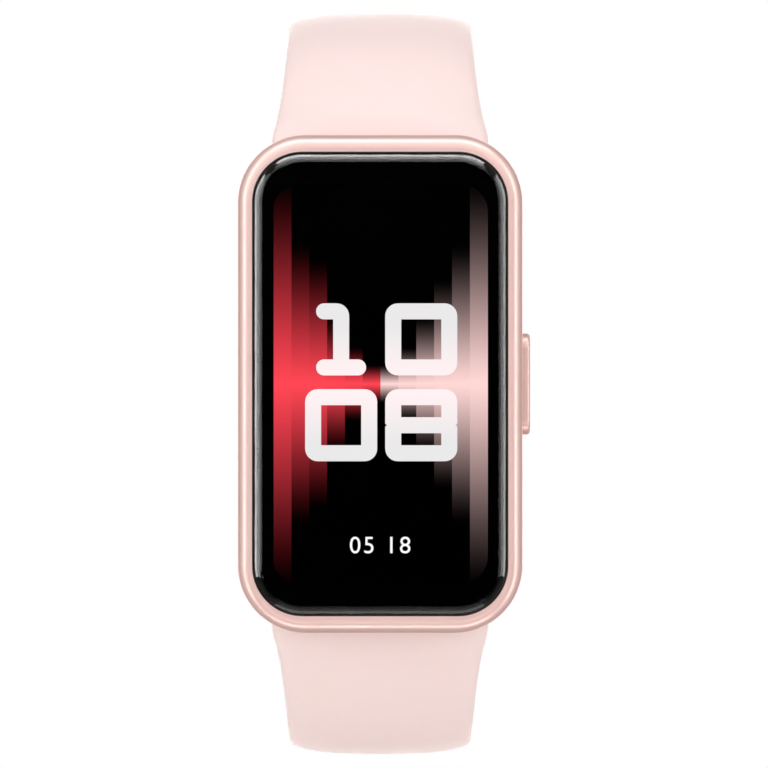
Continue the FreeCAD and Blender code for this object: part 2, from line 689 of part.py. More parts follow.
def buckle_frame():
    """A U-shaped frame: two arms from the bar and a cross bar that the tang lies on."""
    half = BUCKLE_THICK / 2
    outer = box_between((-BUCKLE_HALF_WIDTH, 0, -half), (BUCKLE_HALF_WIDTH, BUCKLE_END, half))
    corners = edges_where(outer, lambda b: b.XLength < 1e-4 and b.YLength < 1e-4 and b.YMax > 1)
    outer = outer.makeFillet(BUCKLE_CORNER, corners)
    inner = BUCKLE_HALF_WIDTH - BUCKLE_ARM
    eyes = rod_x(BUCKLE_EYE_RADIUS, -BUCKLE_HALF_WIDTH, BUCKLE_HALF_WIDTH)
    eyes = eyes.makeFillet(BUCKLE_ROUND, edges_where(eyes, lambda b: b.XLength < 1e-4))
    window = box_between((-inner, -5, -5), (inner, BUCKLE_WINDOW_END, 5))
    inner_corners = edges_where(window, lambda b: b.XLength < 1e-4 and b.YLength < 1e-4
                                and b.YMax > 1)
    window = window.makeFillet(BUCKLE_CORNER - 1.6, inner_corners)
    ring = outer.cut(window)
    faces = edges_where(ring, lambda b: b.ZLength < 1e-4 and b.YMax > 0.1)
    ring = ring.makeFillet(BUCKLE_ROUND, faces)
    bore = rod_x(BUCKLE_BAR_RADIUS + 0.02, -BUCKLE_HALF_WIDTH + 0.6, BUCKLE_HALF_WIDTH - 0.6)
    notch = box_between((-TANG_HALF_WIDTH - 0.3, BUCKLE_WINDOW_END - 1, half - 0.35),
                        (TANG_HALF_WIDTH + 0.3, BUCKLE_END + 1, half + 1))
    return at_buckle(join(ring, eyes).cut([window, bore, notch]))


def buckle_bar():
    reach = BUCKLE_HALF_WIDTH - 0.65
    return at_buckle(rod_x(BUCKLE_BAR_RADIUS, -reach, reach))


def buckle_tang():
    """A collar round the bar and a tongue that rests in the notch of the cross bar."""
    width = TANG_HALF_WIDTH
    collar = rod_x(TANG_COLLAR, -width, width)
    rest = BUCKLE_THICK / 2 - 0.35 + 0.05
    tongue = prism_x(outline_x([(0.6, -0.6), (0.6, 1.3), (3.0, rest + 1.0), (10.6, rest + 0.95),
                                (11.2, rest + 0.5), (11.0, rest), (3.4, rest), (1.6, 0.0)]),
                     width)
    bore = rod_x(BUCKLE_BORE, -width, width)
    return at_buckle(join(collar, tongue).cut(bore))


def strap_keeper():
    """A closed loop round the strap, with room above the strap for the tail."""
    inner_x = STRAP_HALF_WIDTH + KEEPER_GAP
    low_z = -STRAP_THICK / 2 - KEEPER_GAP
    high_z = STRAP_THICK / 2 + KEEPER_ROOM
    wall = KEEPER_WALL
    low_y = -KEEPER_PLACE - KEEPER_LENGTH / 2
    high_y = -KEEPER_PLACE + KEEPER_LENGTH / 2
    outer = box_between((-inner_x - wall, low_y, low_z - wall), (inner_x + wall, high_y, high_z + wall))
    along = edges_where(outer, lambda b: b.XLength < 1e-4 and b.ZLength < 1e-4)
    outer = outer.makeFillet(1.6, along)
    return at_buckle(outer.cut(box_between((-inner_x, low_y, low_z), (inner_x, high_y, high_z))))


def turned_over(make):
    """The same piece at the tail end of the case."""
    return lambda: mirror_z(make())


panel_front_y = GLASS_BACK_Y + ADHESIVE_THICK
foam_front_y = panel_front_y + PANEL_THICK

NODES = {
    "case_frame": case_frame,
    "back_cover": back_cover,
    "back_cover_gasket": back_cover_gasket,
    "sensor_window": sensor_window,
    "charging_pins": charging_pins,
    "charging_pin_seals": charging_pin_seals,
    "charging_magnets": charging_magnets,
    "cover_glass": cover_glass,
    "glass_gasket": glass_gasket,
    "display_adhesive": lambda: display_layer(GLASS_BACK_Y, ADHESIVE_THICK, 0.2),
    "display_panel": lambda: display_layer(panel_front_y, PANEL_THICK),
    "display_foam_pad": lambda: rounded_block(17.6, 22.0, 1.0, foam_front_y, POCKET_FLOOR_Y, z=-1),
    "inner_bracket": inner_bracket,
    "display_flex": display_flex,
    "main_board": main_board,
    "board_screws": board_screws,
    "board_chips": board_chips,
    "shield_can": shield_can,
    "battery": battery,
    "battery_adhesive": battery_adhesive,
    "vibration_motor": vibration_motor,
    "sensor_board": sensor_board,
    "green_leds": lambda: sensor_chips(LED_SIZE, (-1.8, 1.8), (0.0,)),
    "photodiodes": lambda: sensor_chips(DIODE_SIZE, (0.0,), (-cell_step, cell_step)),
    "light_baffle": light_baffle,
    "button_switch": button_switch,
    "side_button": side_button,
    "button_seals": button_seals,
    "button_clips": button_clips,
    "upper_strap": upper_strap,
    "upper_end_sleeve": end_sleeve,
    "upper_bar_tube": bar_tube,
    "upper_bar_spring": bar_spring,
    "upper_release_pin": release_pin,
    "tail_strap": tail_strap,
    "tail_end_sleeve": turned_over(end_sleeve),
    "tail_bar_tube": turned_over(bar_tube),
    "tail_bar_spring": turned_over(bar_spring),
    "tail_release_pin": turned_over(release_pin),
    "buckle_frame": buckle_frame,
    "buckle_bar": buckle_bar,
    "buckle_tang": buckle_tang,
    "strap_keeper": strap_keeper,
}

os.makedirs("parts", exist_ok=True)
for name, make in NODES.items():
    shape = make()
    assert shape.isValid() and shape.Volume > 0, name
    shape.exportStep(f"parts/{name}.step")
    print(f"{name}: {len(shape.Solids)} solid(s), {shape.Volume:.2f} mm3")
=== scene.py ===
import bmesh
import bpy
import json
import math
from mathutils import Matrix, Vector


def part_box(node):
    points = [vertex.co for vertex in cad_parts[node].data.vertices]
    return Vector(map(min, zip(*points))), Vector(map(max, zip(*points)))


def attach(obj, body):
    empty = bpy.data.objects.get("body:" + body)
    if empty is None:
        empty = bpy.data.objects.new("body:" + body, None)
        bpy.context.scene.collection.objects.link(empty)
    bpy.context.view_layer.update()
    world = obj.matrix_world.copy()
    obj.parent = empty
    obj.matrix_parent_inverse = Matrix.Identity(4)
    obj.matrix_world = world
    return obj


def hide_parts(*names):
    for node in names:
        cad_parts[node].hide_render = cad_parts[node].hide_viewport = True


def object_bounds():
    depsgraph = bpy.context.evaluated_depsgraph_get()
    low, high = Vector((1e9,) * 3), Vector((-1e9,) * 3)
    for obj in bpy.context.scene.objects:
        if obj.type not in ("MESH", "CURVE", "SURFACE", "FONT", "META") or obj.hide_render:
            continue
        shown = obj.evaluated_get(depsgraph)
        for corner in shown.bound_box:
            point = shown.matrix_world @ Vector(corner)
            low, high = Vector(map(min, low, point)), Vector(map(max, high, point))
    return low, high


# Looks of the fitness tracker band: silicone straps and keeper, lit display, materials, studio.
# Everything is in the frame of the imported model: the display faces -Y and +Z is up. Lengths are
# in millimetres and go through MM, apart from the studio's distances, which are in metres.

MM = 0.001

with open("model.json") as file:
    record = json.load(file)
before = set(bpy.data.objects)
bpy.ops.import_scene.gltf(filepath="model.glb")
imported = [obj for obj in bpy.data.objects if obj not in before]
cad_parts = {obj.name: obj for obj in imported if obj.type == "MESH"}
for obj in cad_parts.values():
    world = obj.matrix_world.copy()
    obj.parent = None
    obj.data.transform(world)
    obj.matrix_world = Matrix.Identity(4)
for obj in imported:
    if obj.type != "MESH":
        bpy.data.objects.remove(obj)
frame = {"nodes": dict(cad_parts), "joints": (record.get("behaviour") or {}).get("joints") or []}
cad_low, cad_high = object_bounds()
joints = {joint["name"]: joint for joint in frame["joints"]}

# Straps: the same driving sizes as the frame's strap solids
STRAP_THICK = 2.4
STRAP_HALF_WIDTH = 8.0
START_ANGLE = 20.0
UPPER_RADIUS = 38.0
UPPER_TURN = 32.0
UPPER_STRAIGHT = 33.0
TAIL_RADIUS = 200.0
TAIL_TURN = 25.2

# A strap's end at the case: barrel round the pin, thick shoulder, flare and where it stops
BARREL_RADIUS = 1.6
SLEEVE_RADIUS = 1.1
SHOULDER_RISE = 0.42
SHOULDER_SPAN = (3.2, 9.5)
FLARE_START = 0.3
FLARE_HEIGHT = 9.5
FLARE_EVEN = 0.9
FLARE_STEEP = 0.55
ROOT_HALF_WIDTH = 9.5
ROOT_EASE = 0.4
KNOB_X = 5.2
KNOB_ROOM = 0.6
KNOB_SLOT_DEPTH = 4.0

# A strap's section: a superellipse that is square at the barrel and crowned further on
SQUARE_POWER = 9.0
OUTSIDE_POWER = 2.5
INSIDE_POWER = 5.0
CROWN_SPAN = (0.5, 6.0)
PARTING_V = -0.2
PARTING_RIDGE = 0.04
SECTION_POINTS = 72
STATION_STEP = 0.6
ROUND_STATIONS = 8
ROUND_REACH = 0.995

# The upper strap's eye for the buckle's bar, with the tang's slot through it
EYE_RADIUS = 1.9
EYE_BORE = 0.82
EYE_START = 2.0
EYE_SQUARE_SPAN = (7.0, 2.5)
EYE_POWER_RISE = (2.5, 1.0)
EYE_FINE_START = 2.4
EYE_FINE_STEP = 0.2
TANG_SLOT_HALF_WIDTH = 1.4
TANG_SLOT_BACK = 4.0

# The tail strap's holes and tip
HOLE_COUNT = 11
HOLE_PITCH = 6.5
HOLE_LENGTH = 3.4
HOLE_HEIGHT = 2.0
HOLE_LIP = 0.25
FIRST_HOLE_TO_TIP = 11.0
TIP_ROUND = 6.0
TIP_EDGE = 0.9
TIP_FINE_STEP = 0.3

# How far cutters reach past what they cut
BORE_REACH = 12.0
SLOT_REACH = 5.0
HOLE_REACH = 3.0
ROD_POINTS = 40

# Keeper loop
KEEPER_PLACE = 12.0
KEEPER_LENGTH = 6.0
KEEPER_WALL = 1.2
KEEPER_ROOM = 2.7
KEEPER_GAP = 0.3
KEEPER_INNER_CORNER = 0.6
KEEPER_OUTER_CORNER = 1.9
KEEPER_POINTS = 28
KEEPER_EDGE_POWER = 4.5
KEEPER_CROWN_POWER = 2.6

# Display graphics: thin plates in the cover glass, each in front of its back by a depth
ACTIVE_WIDTH = 18.8
ACTIVE_LENGTH = 34.9
ACTIVE_CORNER = 2.4
PLATE_HALF_THICK = 0.004
PRINT_DEPTH = 0.055
PRINT_INSET = 0.15
PRINT_CORNER = 4.15
WINDOW_ROOM = 0.02
BAR_DEPTH = 0.03
BAR_MIDDLE_X = 0.03
BAR_OUTER_X = {"left": -9.31, "right": 9.41}
BAR_REACHES = {
    "left": (18.3, 12.6, 11.1, 6.0, 3.3, 1.7),
    "right": (18.3, 12.5, 9.4, 6.0, 3.3, 1.7),
}
DIGIT_DEPTH = 0.045
DIGIT_SIZE = 6.3
DIGIT_STROKE = 1.4
DIGIT_CORNER = 1.1
DIGIT_GAP_X = 0.7
DIGIT_GAP_Z = 1.2
DIGIT_MIDDLE_X = 0.09
DIGIT_MIDDLE_Z = 0.15
ONE_LEFT, ONE_RIGHT, ONE_STEM = 0.96, 5.33, 2.45
EIGHT_NOTCH = 0.14
DATE_Z = -14.05
DATE_HEIGHT = 1.5
DATE_HEIGHT_SHARE = 0.72
DATE_SPACING = 1.16

# Studio, in millimetres and degrees
PICTURE_WIDTH = 67.1
SENSOR_WIDTH = 36.0
FLOOR_DROP = 19.0
FLOOR_RADIUS = 280.0
FLOOR_FADE = (0.45, 0.98)
GLINT_CORNER_TURN = 34.0
GLINT_LOWER_TURN = 16.0

# Studio, in metres. The glass has panels on four sides: each stands at an angle from straight
# ahead, with a spread, and the levels are the panels' radiances in that order.
CAMERA_DISTANCE = 2.0
GLINT_DISTANCE = 0.7
GLINT_ANGLES = ((9.0, 10.0), (24.0, 20.0), (50.0, 32.0), (90.0, 48.0), (135.0, 42.0))
GLINTS = {
    "left": (-1, 0, (1.2, 3.6, 9.0, 15.0, 20.0)),
    "right": (1, 0, (0.4, 1.8, 5.6, 10.5, 18.0)),
    "above": (0, 1, (2.2, 3.2, 9.0, 18.0, 22.0)),
    "below": (0, -1, (0.2, 0.7, 1.2, 2.9, 7.0)),
}
# Softboxes: name, place from the middle of the case, width, height, watts, colour
NEUTRAL, WARM = (1.0, 1.0, 1.0), (1.0, 0.93, 0.92)
SOFTBOXES = (
    ("key_above", (-0.06, -0.53, 0.30), 0.90, 0.66, 1.64, NEUTRAL),
    ("left_strip", (-0.50, -0.34, 0.02), 0.18, 0.90, 1.50, NEUTRAL),
    ("right_strip", (0.50, -0.34, 0.02), 0.18, 0.90, 1.42, NEUTRAL),
    ("top_strip", (0.0, -0.23, 0.57), 0.80, 0.14, 1.50, NEUTRAL),
    ("front_low", (0.0, -0.56, -0.24), 0.50, 0.26, 0.52, WARM),
    ("bottom_strip", (0.0, -0.28, -0.53), 0.80, 0.14, 1.30, WARM),
)
OVERHEAD = ((0.0, 0.05, 0.70), 0.60, 0.60, 1.6)
# The world's brightness, from straight ahead of the display at 0 to straight behind it at 1
WORLD_LEVELS = ((0.02, 0.002), (0.30, 0.50), (0.52, 0.46), (0.64, 0.24), (0.91, 0.26), (0.97, 4.0))


# ---- meshes ----

def add_piece(name, mesh, material, body, replaced=()):
    """Put a mesh in the scene as a piece of the object that moves with a body."""
    piece = bpy.data.objects.new(name, mesh)
    bpy.context.scene.collection.objects.link(piece)
    mesh.materials.clear()
    mesh.materials.append(material)
    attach(piece, body)
    if replaced:
        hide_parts(*replaced)


def mesh_from_loops(name, loops, closed=False):
    """Skin a row of equal point loops, in millimetres. The ends are capped unless it is closed."""
    form = bmesh.new()
    rings = [[form.verts.new(Vector(point) * MM) for point in loop] for loop in loops]
    pairs = list(zip(rings, rings[1:]))
    if closed:
        pairs.append((rings[-1], rings[0]))
    for near, far in pairs:
        for k in range(len(near)):
            form.faces.new((near[k - 1], near[k], far[k], far[k - 1]))
    if not closed:
        form.faces.new(rings[0])
        form.faces.new(rings[-1])
    bmesh.ops.recalc_face_normals(form, faces=form.faces)
    mesh = bpy.data.meshes.new(name)
    form.to_mesh(mesh)
    form.free()
    return mesh


def join_meshes(name, meshes):
    """One mesh that holds all of them."""
    form = bmesh.new()
    for mesh in meshes:
        form.from_mesh(mesh)
    joined = bpy.data.meshes.new(name)
    form.to_mesh(joined)
    form.free()
    return joined


def carved(mesh, cutters):
    """The mesh with the cutters taken out of it."""
    body = bpy.data.objects.new("carving", mesh)
    knife = bpy.data.objects.new("knife", join_meshes("knife", cutters))
    for thing in (body, knife):
        bpy.context.scene.collection.objects.link(thing)
    cut = body.modifiers.new("cut", "BOOLEAN")
    cut.object = knife
    cut.solver = "EXACT"
    bpy.context.view_layer.update()
    shape = body.evaluated_get(bpy.context.evaluated_depsgraph_get())
    result = bpy.data.meshes.new_from_object(shape)
    for thing in (body, knife):
        bpy.data.objects.remove(thing)
    return result


def shade(mesh, sharp_degrees=38.0):
    """Shade a mesh smooth, but keep edges crisp where its faces turn by more than this."""
    for face in mesh.polygons:
        face.use_smooth = True
    mesh.set_sharp_from_angle(angle=math.radians(sharp_degrees))
    return mesh


def signed_power(value, power):
    """The power of a value's size, with the value's sign."""
    return math.copysign(abs(value) ** power, value)


def smooth_step(low, high, value):
    """0 up to low and 1 from high, with a smooth rise between them."""
    part = min(1.0, max(0.0, (value - low) / (high - low)))
    return part * part * (3 - 2 * part)


# ---- strap halves ----

class StrapPath:
    """The centreline of one strap half, as bends of constant radius from its hinge pin."""

    def __init__(self, hinge, bends):
        self.side = 1 if hinge[2] > 0 else -1
        self.start = (hinge[1] / MM, abs(hinge[2]) / MM)
        outer_z = max(cad_high.z, -cad_low.z) / MM
        rise = outer_z - STRAP_THICK / 2 - self.start[1]
        radius = rise / (1 - math.sin(math.radians(START_ANGLE)))
        first_length = radius * math.radians(90 - START_ANGLE)
        self.bends = [(radius, first_length)] + bends
        self.length = sum(length for _, length in self.bends)

    def place(self, s):
        """(y, z, heading) at a distance s along the strap, with heading 0 along +Z."""
        y, z = self.start
        heading = math.radians(START_ANGLE)
        if s < 0:
            return y + s * math.sin(heading), z + s * math.cos(heading), heading
        for radius, length in self.bends:
            step = min(s, length)
            s -= step
            if radius is None:
                y += step * math.sin(heading)
                z += step * math.cos(heading)
            else:
                turned = heading + step / radius
                y += radius * (math.cos(heading) - math.cos(turned))
                z += radius * (math.sin(turned) - math.sin(heading))
                heading = turned
        y += s * math.sin(heading)
        z += s * math.cos(heading)
        return y, z, heading

    def point(self, s, x, v, along=0.0):
        """A point x across, v outwards and a further distance along from the place at s."""
        y, z, heading = self.place(s)
        y += -v * math.cos(heading) + along * math.sin(heading)
        z += v * math.sin(heading) + along * math.cos(heading)
        return x, y, self.side * z


def section(half_width, v_out, v_in, power_out, power_in):
    """Points (x, v) round a strap section: a crowned outside, a flatter inside, a mould line."""
    points = []
    for k in range(SECTION_POINTS):
        turn = 2 * math.pi * k / SECTION_POINTS
        across, up = math.cos(turn), math.sin(turn)
        power = power_out if up >= 0 else power_in
        height = (v_out - PARTING_V) if up >= 0 else (v_in + PARTING_V)
        x = half_width * signed_power(across, 2 / power)
        if k in (0, SECTION_POINTS // 2):
            x += math.copysign(PARTING_RIDGE, x)
        points.append((x, PARTING_V + height * signed_power(up, 2 / power)))
    return points


def root_section(path, s):
    """The strap near the case: a barrel round the pin, a thick shoulder, then the flare."""
    half = STRAP_THICK / 2
    height = path.place(s)[1]
    loop_top = path.place(path.bends[0][1])[1]
    flare = max(0.0, (loop_top - FLARE_START - height) / FLARE_HEIGHT)
    half_width = STRAP_HALF_WIDTH + FLARE_EVEN * flare + FLARE_STEEP * flare ** 4
    past = half_width - (ROOT_HALF_WIDTH - ROOT_EASE)
    if past > 0:
        half_width += ROOT_EASE * math.tanh(past / ROOT_EASE) - past
    if s > path.bends[0][1]:
        half_width = STRAP_HALF_WIDTH
    barrel = math.sqrt(max(0.04, BARREL_RADIUS ** 2 - s ** 2)) if s < BARREL_RADIUS else 0.0
    v_out = barrel if s < 0 else half + SHOULDER_RISE * (1 - smooth_step(*SHOULDER_SPAN, s))
    v_in = barrel if s < 0 else max(barrel, half)
    crown = smooth_step(*CROWN_SPAN, s)
    return (half_width, v_out, v_in, SQUARE_POWER - (SQUARE_POWER - OUTSIDE_POWER) * crown,
            SQUARE_POWER - (SQUARE_POWER - INSIDE_POWER) * crown)


def strap_loops(path, stations, shape_at):
    """The strap's section at each station, as loops of points."""
    return [[path.point(s, x, v) for x, v in section(*shape_at(s))] for s in stations]


def stations_between(start, end, step=STATION_STEP):
    """Even stations from the start, up to but without the end."""
    count = max(1, round((end - start) / step))
    return [start + (end - start) * k / count for k in range(count)]


def barrel_stations():
    """Stations round the barrel at the strap's hinge, up to the pin."""
    return [-BARREL_RADIUS * math.cos(math.pi / 2 * k / ROUND_STATIONS) * ROUND_REACH
            for k in range(ROUND_STATIONS)]


def rounded_end(length, depth, count=7):
    """Stations that close up towards an end, where the strap's edge is rounded over."""
    return [length - depth * (1 - math.sin(math.pi / 2 * k / count)) for k in range(count)]


def rod_across(path, s, radius, half_width):
    """A round cutter along X at a place on the strap."""
    turns = [2 * math.pi * k / ROD_POINTS for k in range(ROD_POINTS)]
    return mesh_from_loops("rod", [
        [path.point(s, x, radius * math.cos(a), radius * math.sin(a)) for a in turns]
        for x in (-half_width, half_width)])


def slot_cutter(path, s, length, height, half_thick, lip):
    """A cutter for a rounded slot across the strap, wider at both faces by a rounded lip."""
    turns = [math.pi * k / 10 for k in range(11)]
    levels = [(HOLE_REACH, lip)]
    levels += [(half_thick - lip * math.sin(a), lip * (1 - math.sin(a)) ** 1.5)
               for a in (0.0, 0.4, 0.8, 1.2, math.pi / 2)]
    levels += [(-v, grow) for v, grow in reversed(levels)]
    loops = []
    for v, grow in levels:
        radius = height / 2 + grow
        reach = (length - height) / 2
        right = [(reach + radius * math.sin(a), radius * math.cos(a)) for a in turns]
        left = [(-x, -along) for x, along in right]
        loops.append([path.point(s, x, v, along) for x, along in right + left])
    return mesh_from_loops("slot", loops)


def box_cutter(path, s, x_range, v_range, along_range):
    """A cutter with square sides, given across, outwards and along from the place at s."""
    corners = [(x_range[0], along_range[0]), (x_range[1], along_range[0]),
               (x_range[1], along_range[1]), (x_range[0], along_range[1])]
    return mesh_from_loops("box", [
        [path.point(s, x, v, along) for x, along in corners] for v in v_range])


def root_cutters(path):
    """The bore for the bar's sleeve and the slot that the release knob slides in."""
    bore = rod_across(path, 0.0, SLEEVE_RADIUS, BORE_REACH)
    travel = joints["upper_release_slide"]["range_m"][1] / MM
    slot = box_cutter(path, 0.0, (KNOB_X - travel - KNOB_ROOM, KNOB_X + KNOB_ROOM),
                      (-KNOB_SLOT_DEPTH, 0.0), (-KNOB_ROOM, KNOB_ROOM))
    return [bore, slot]


def upper_path():
    """The course of the upper strap, whose end is at the buckle's bar."""
    return StrapPath(joints["upper_strap_swing"]["pos_m"],
                     [(UPPER_RADIUS, UPPER_RADIUS * math.radians(UPPER_TURN)),
                      (None, UPPER_STRAIGHT)])


def upper_strap_mesh():
    """The strap half with the eye that the buckle's bar goes through."""
    path = upper_path()
    eye_s = path.length
    square_from, square_to = EYE_SQUARE_SPAN
    rise_out, rise_in = EYE_POWER_RISE

    def shape_at(s):
        half_width, v_out, v_in, power_out, power_in = root_section(path, s)
        near = smooth_step(eye_s - square_from, eye_s - square_to, s)
        if s > eye_s - EYE_START:
            eye = math.sqrt(max(0.01, EYE_RADIUS ** 2 - (s - eye_s) ** 2))
            grow = eye if s > eye_s else max(STRAP_THICK / 2, eye)
            v_out = grow
            v_in = grow
        return half_width, v_out, v_in, power_out + rise_out * near, power_in + rise_in * near

    stations = barrel_stations()
    stations += stations_between(0.0, eye_s - EYE_FINE_START)
    stations += stations_between(eye_s - EYE_FINE_START, eye_s, EYE_FINE_STEP)
    stations += [eye_s + EYE_RADIUS * math.sin(math.pi / 2 * k / ROUND_STATIONS) * ROUND_REACH
                 for k in range(ROUND_STATIONS + 1)]
    blank = mesh_from_loops("upper_strap_skin", strap_loops(path, stations, shape_at))
    slot = box_cutter(path, eye_s, (-TANG_SLOT_HALF_WIDTH, TANG_SLOT_HALF_WIDTH),
                      (-SLOT_REACH, SLOT_REACH), (-TANG_SLOT_BACK, SLOT_REACH))
    bore = rod_across(path, eye_s, EYE_BORE, BORE_REACH)
    return shade(carved(blank, root_cutters(path) + [slot, bore]))


def tail_strap_mesh():
    """The strap half with the row of holes and the round tip."""
    path = StrapPath(joints["tail_strap_swing"]["pos_m"],
                     [(TAIL_RADIUS, TAIL_RADIUS * math.radians(TAIL_TURN))])
    tip_s = path.length

    def shape_at(s):
        half_width, v_out, v_in, power_out, power_in = root_section(path, s)
        past = max(0.0, s - (tip_s - TIP_ROUND))
        half_width -= TIP_ROUND - math.sqrt(max(0.0, TIP_ROUND ** 2 - past ** 2))
        rim = max(0.0, s - (tip_s - TIP_EDGE)) / TIP_EDGE
        thin = max(0.1, (1 - rim ** 2.5)) ** 0.4
        return (half_width, PARTING_V + (v_out - PARTING_V) * thin,
                -PARTING_V + (v_in + PARTING_V) * thin, power_out, power_in)

    stations = barrel_stations()
    stations += stations_between(0.0, tip_s - TIP_ROUND)
    stations += stations_between(tip_s - TIP_ROUND, tip_s - TIP_EDGE, TIP_FINE_STEP)
    stations += rounded_end(tip_s, TIP_EDGE) + [tip_s]
    blank = mesh_from_loops("tail_strap_skin", strap_loops(path, stations, shape_at))
    holes = [slot_cutter(path, tip_s - FIRST_HOLE_TO_TIP - k * HOLE_PITCH, HOLE_LENGTH,
                         HOLE_HEIGHT, STRAP_THICK / 2, HOLE_LIP) for k in range(HOLE_COUNT)]
    return shade(carved(blank, root_cutters(path) + holes))


# ---- keeper ----

def rounded_rectangle(half_x, half_z, radius, per_corner=8):
    """Points round a rectangle with round corners, centred on the origin."""
    points = []
    for corner in range(4):
        sign_x = 1 if corner in (0, 3) else -1
        sign_z = 1 if corner in (0, 1) else -1
        for k in range(per_corner + 1):
            turn = math.pi / 2 * (corner + k / per_corner)
            points.append((sign_x * (half_x - radius) + radius * math.cos(turn),
                           sign_z * (half_z - radius) + radius * math.sin(turn)))
    return points


def keeper_mesh():
    """A moulded loop whose band is crowned outside and nearly flat inside."""
    path = upper_path()
    place_s = path.length - KEEPER_PLACE
    half_x = STRAP_HALF_WIDTH + KEEPER_GAP
    low = -STRAP_THICK / 2 - KEEPER_GAP
    high = STRAP_THICK / 2 + KEEPER_ROOM
    middle, half_z = (low + high) / 2, (high - low) / 2
    inner = rounded_rectangle(half_x, half_z, KEEPER_INNER_CORNER)
    outer = rounded_rectangle(half_x + KEEPER_WALL, half_z + KEEPER_WALL, KEEPER_OUTER_CORNER)
    loops = []
    for k in range(KEEPER_POINTS):
        turn = 2 * math.pi * k / KEEPER_POINTS
        along = KEEPER_LENGTH / 2 * signed_power(math.cos(turn), 2 / KEEPER_EDGE_POWER)
        rise = 0.5 + 0.5 * signed_power(math.sin(turn), 2 / KEEPER_CROWN_POWER)
        loops.append([path.point(place_s, a[0] + (b[0] - a[0]) * rise,
                                 middle + a[1] + (b[1] - a[1]) * rise, along)
                      for a, b in zip(inner, outer)])
    return shade(mesh_from_loops("keeper_loop", loops, closed=True))


# ---- display graphics ----

def rounded_outline(corners, per_corner=6):
    """An outline from (x, z, radius) corners, with each corner rounded by its radius."""
    points = []
    for k, (x, z, radius) in enumerate(corners):
        here = Vector((x, z))
        before = (Vector(corners[k - 1][:2]) - here).normalized()
        after = (Vector(corners[(k + 1) % len(corners)][:2]) - here).normalized()
        if radius == 0:
            points.append((x, z))
            continue
        centre = here + (before + after) * radius
        start = here + before * radius - centre
        end = here + after * radius - centre
        for step in range(per_corner + 1):
            turn = math.pi / 2 * step / per_corner
            point = centre + start * math.cos(turn) + end * math.sin(turn)
            points.append((point.x, point.y))
    return points


def flat_shape(name, outlines, depth):
    """A thin plate for the display from (x, z) outlines, of which the inner ones are holes."""
    curve = bpy.data.curves.new(name, "CURVE")
    curve.dimensions = "2D"
    curve.fill_mode = "BOTH"
    curve.extrude = PLATE_HALF_THICK * MM
    for outline in outlines:
        spline = curve.splines.new("POLY")
        spline.points.add(len(outline) - 1)
        for point, (x, z) in zip(spline.points, outline):
            point.co = (x * MM, z * MM, 0.0, 1.0)
        spline.use_cyclic_u = True
    return plate_from_curve(name, curve, depth)


def plate_from_curve(name, curve, depth):
    """A flat curve as a mesh that stands in the glass, in front of its back by a depth."""
    holder = bpy.data.objects.new(name, curve)
    bpy.context.scene.collection.objects.link(holder)
    bpy.context.view_layer.update()
    mesh = bpy.data.meshes.new_from_object(
        holder.evaluated_get(bpy.context.evaluated_depsgraph_get()))
    bpy.data.objects.remove(holder)
    glass_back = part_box("cover_glass")[1][1]
    for vertex in mesh.vertices:
        x, z, forward = vertex.co
        vertex.co = (x, glass_back - depth * MM - forward, z)
    return mesh


def shifted(outline, x, z):
    """An outline moved by x and z."""
    return [(a + x, b + z) for a, b in outline]


def rectangle(x0, x1, z0, z1, radius=0.0):
    """The outline of a rectangle with square or round corners."""
    return rounded_outline([(x0, z0, radius), (x1, z0, radius), (x1, z1, radius),
                            (x0, z1, radius)])


def digit_outlines(digit):
    """Outlines of a square numeral in a cell whose lower left corner is the origin."""
    size, stroke, corner = DIGIT_SIZE, DIGIT_STROKE, DIGIT_CORNER
    cap = stroke / 2 - 0.01
    inner = size - stroke
    if digit == "0":
        return [rectangle(0, size, 0, size, corner), rectangle(stroke, inner, stroke, inner)]
    if digit == "8":
        middle, notch = size / 2, EIGHT_NOTCH
        side = [(size, middle - notch, 0.0), (size - notch, middle, 0.0),
                (size, middle + notch, 0.0)]
        other = [(0, middle + notch, 0.0), (notch, middle, 0.0), (0, middle - notch, 0.0)]
        outer = rounded_outline([(0, 0, corner), (size, 0, corner)] + side
                                + [(size, size, corner), (0, size, corner)] + other)
        bar = stroke / 2
        return [outer, rectangle(stroke, inner, stroke, middle - bar),
                rectangle(stroke, inner, middle + bar, inner)]
    left, right, stem = ONE_LEFT, ONE_RIGHT, ONE_STEM
    return [rounded_outline([
        (left, size, cap), (stem + stroke, size, corner), (stem + stroke, stroke, 0.0),
        (right, stroke, cap), (right, 0.0, cap), (left, 0.0, cap), (left, stroke, cap),
        (stem, stroke, 0.0), (stem, inner, 0.0), (left, inner, cap)])]


def digits_mesh():
    """The time: two rows of two numerals."""
    left = DIGIT_MIDDLE_X - DIGIT_SIZE - DIGIT_GAP_X / 2
    right = DIGIT_MIDDLE_X + DIGIT_GAP_X / 2
    upper = DIGIT_MIDDLE_Z + DIGIT_GAP_Z / 2
    lower = DIGIT_MIDDLE_Z - DIGIT_GAP_Z / 2 - DIGIT_SIZE
    cells = [("1", left, upper), ("0", right, upper), ("0", left, lower), ("8", right, lower)]
    outlines = [shifted(outline, x, z) for digit, x, z in cells
                for outline in digit_outlines(digit)]
    return flat_shape("time_digits", outlines, DIGIT_DEPTH)


def date_mesh():
    """A small line of plain numerals under the time."""
    text = bpy.data.curves.new("date_digits", "FONT")
    text.body = "05 18"
    text.align_x = "CENTER"
    text.size = DATE_HEIGHT / DATE_HEIGHT_SHARE * MM
    text.space_character = DATE_SPACING
    text.extrude = PLATE_HALF_THICK * MM
    mesh = plate_from_curve("date_digits", text, DIGIT_DEPTH)
    low = min(vertex.co.z for vertex in mesh.vertices)
    for vertex in mesh.vertices:
        vertex.co.z += (DATE_Z - DATE_HEIGHT / 2) * MM - low
    return mesh


